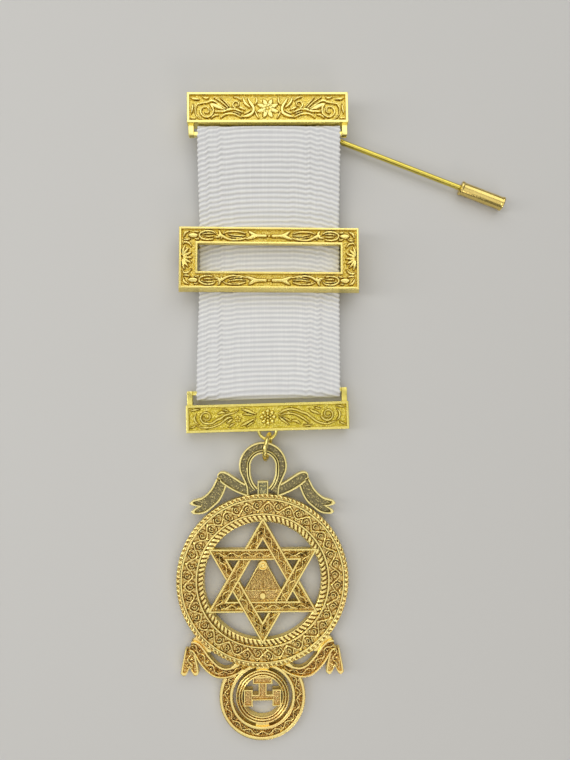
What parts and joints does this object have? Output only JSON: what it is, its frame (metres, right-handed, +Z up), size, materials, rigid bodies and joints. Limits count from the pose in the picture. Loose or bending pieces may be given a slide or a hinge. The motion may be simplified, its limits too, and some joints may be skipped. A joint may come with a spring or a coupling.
{
  "type": "breast jewel on a ribbon with a brooch pin",
  "caption": "Gilt breast jewel: pierced round medal with a six-pointed star, hung by a jump ring from a ribbed white ribbon with cast bars, a sliding frame and a swivelling brooch pin.",
  "frame": {"origin": "on the table under the pivot of the brooch pin, in the middle of the pivot's head", "axes": "+X across the ribbon, to the side the pin points; +Y along the ribbon, away from the medal; +Z up from the table, out of the jewel's front"},
  "size_m": [0.0742, 0.1421, 0.0064],
  "materials": {
    "top_bar": "cast brass with bright gold plating",
    "pin": "drawn brass wire, satin",
    "pin_cap": "turned brass, satin",
    "ribbon": "white ribbed silk with a soft sheen",
    "slide_frame": "cast brass with bright gold plating",
    "lower_bar": "cast brass with yellow gold plating",
    "jump_ring": "gold-plated brass wire",
    "medal": "cast brass with worn gold plating, darker in the grounds"
  },
  "bodies": {
    "jewel": {"top_bar": "top_bar", "ribbon": "ribbon", "slide_frame": "slide_frame", "lower_bar": "lower_bar", "jump_ring": "jump_ring", "medal": "medal"},
    "pin": {"pin": "pin"},
    "cap": {"pin_cap": "pin_cap"}
  },
  "joints": [
    {"name": "pin_swivel", "type": "hinge", "parent": "jewel", "child": "pin", "pos_m": [0, 0, 0.0016], "axis": [0, 0, 1], "range_deg": [-10, 230]},
    {"name": "cap_slide", "type": "slide", "parent": "pin", "child": "cap", "axis": [0.9348, -0.3551, 0], "range_m": [0, 0.009]}
  ]
}
